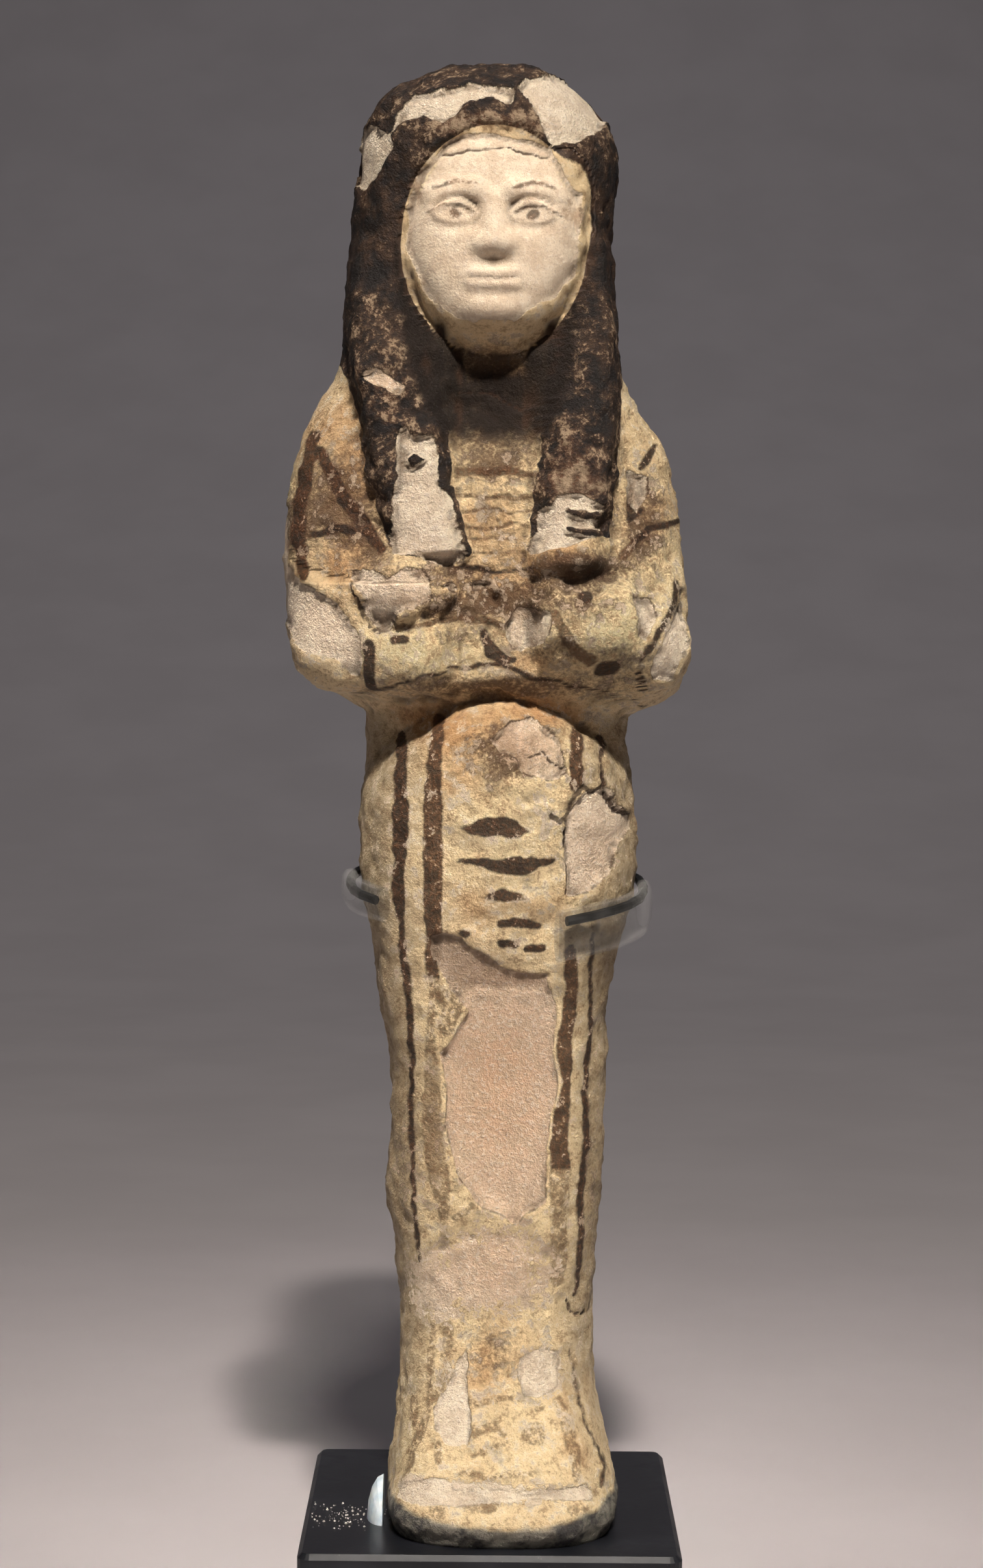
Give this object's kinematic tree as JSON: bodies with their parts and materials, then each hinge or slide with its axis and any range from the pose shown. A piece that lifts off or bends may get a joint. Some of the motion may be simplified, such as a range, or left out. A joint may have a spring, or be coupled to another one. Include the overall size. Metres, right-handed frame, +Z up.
{
  "type": "ushabti figurine",
  "caption": "Upright faience ushabti with long wig and crossed arms, held on a black block by a bent wire cradle with clear sleeves.",
  "frame": {"origin": "middle of the display block's underside", "axes": "+Z up, along the figure's height; the figure faces -Y; +X is to the viewer's right"},
  "size_m": [0.0371, 0.034, 0.1439],
  "materials": {
    "faience": "worn cream faience with dark brown painted details and bare, grainy losses",
    "black_block": "satin black, dusty",
    "black_wire": "satin black paint",
    "clear_tube": "clear, slightly milky tubing",
    "pale_wax": "soft bluish-white museum wax"
  },
  "bodies": {
    "root": {"base_block": "black_block", "ushabti_figure": "faience", "cradle": "black_wire", "right_sleeve": "clear_tube", "left_sleeve": "clear_tube", "mounting_wax": "pale_wax"}
  },
  "joints": []
}
